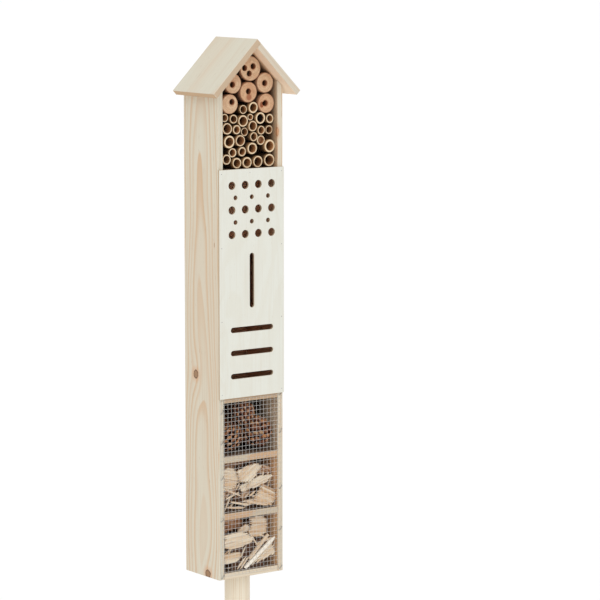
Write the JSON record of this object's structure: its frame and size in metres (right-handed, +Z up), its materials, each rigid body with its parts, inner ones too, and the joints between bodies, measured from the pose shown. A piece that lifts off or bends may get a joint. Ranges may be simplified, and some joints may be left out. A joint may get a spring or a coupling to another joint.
{
  "type": "insect hotel",
  "caption": "Narrow gabled wooden insect house on a round ground stake, with drilled logs, bamboo tubes, a slotted front panel and mesh-fronted boxes of cones and wood chips.",
  "frame": {"origin": "on the axis of the stake, at ground level; the point of the stake is below it", "axes": "+Z up along the stake, +X to the right and -Y out of the open front of the house"},
  "size_m": [0.1512, 0.104, 1.3336],
  "materials": {
    "pine": "sawn, untreated",
    "plywood": "pale veneer, untreated",
    "branch_wood": "sawn end grain",
    "bamboo": "dry cane",
    "cone_scales": "rough dry scales",
    "split_wood": "rough split",
    "galvanised_wire": "galvanised"
  },
  "bodies": {
    "stake": {"stake": "pine"},
    "house": {"back_board": "pine", "bamboo_tube_01": "bamboo", "bamboo_tube_02": "bamboo", "bamboo_tube_03": "bamboo", "bamboo_tube_04": "bamboo", "bamboo_tube_05": "bamboo", "bamboo_tube_06": "bamboo", "bamboo_tube_07": "bamboo", "bamboo_tube_08": "bamboo", "bamboo_tube_09": "bamboo", "bamboo_tube_10": "bamboo", "bamboo_tube_11": "bamboo", "bamboo_tube_12": "bamboo", "bamboo_tube_13": "bamboo", "bamboo_tube_14": "bamboo", "bamboo_tube_15": "bamboo", "bamboo_tube_16": "bamboo", "bamboo_tube_17": "bamboo", "bamboo_tube_18": "bamboo", "bamboo_tube_19": "bamboo", "bamboo_tube_20": "bamboo", "bamboo_tube_21": "bamboo", "bamboo_tube_22": "bamboo", "bamboo_tube_23": "bamboo", "bamboo_tube_24": "bamboo", "bamboo_tube_25": "bamboo", "bamboo_tube_26": "bamboo", "bamboo_tube_27": "bamboo", "chip_floor": "pine", "chip_lower_corner": "split_wood", "chip_lower_left": "split_wood", "chip_lower_right": "split_wood", "chip_lower_top": "split_wood", "chip_upper_left": "split_wood", "chip_upper_middle": "split_wood", "chip_upper_right": "split_wood", "cone_ceiling": "pine", "cone_floor": "pine", "floor_board": "pine", "front_panel": "plywood", "hole_chamber_floor": "pine", "left_side_board": "pine", "log_centre": "branch_wood", "log_left_lower": "branch_wood", "log_left_upper": "branch_wood", "log_right_lower": "branch_wood", "log_right_upper": "branch_wood", "log_top": "branch_wood", "pine_cone_left": "cone_scales", "pine_cone_rear": "cone_scales", "pine_cone_right": "cone_scales", "pine_cone_top": "cone_scales", "right_side_board": "pine", "roof_board_left": "pine", "roof_board_right": "pine", "slot_chamber_floor": "pine", "socket_block": "pine", "tube_shelf": "pine", "wire_mesh": "galvanised_wire"}
  },
  "joints": [
    {"name": "house_lift", "type": "slide", "parent": "stake", "child": "house", "axis": [0, 0, 1], "range_m": [0, 0.06]}
  ]
}
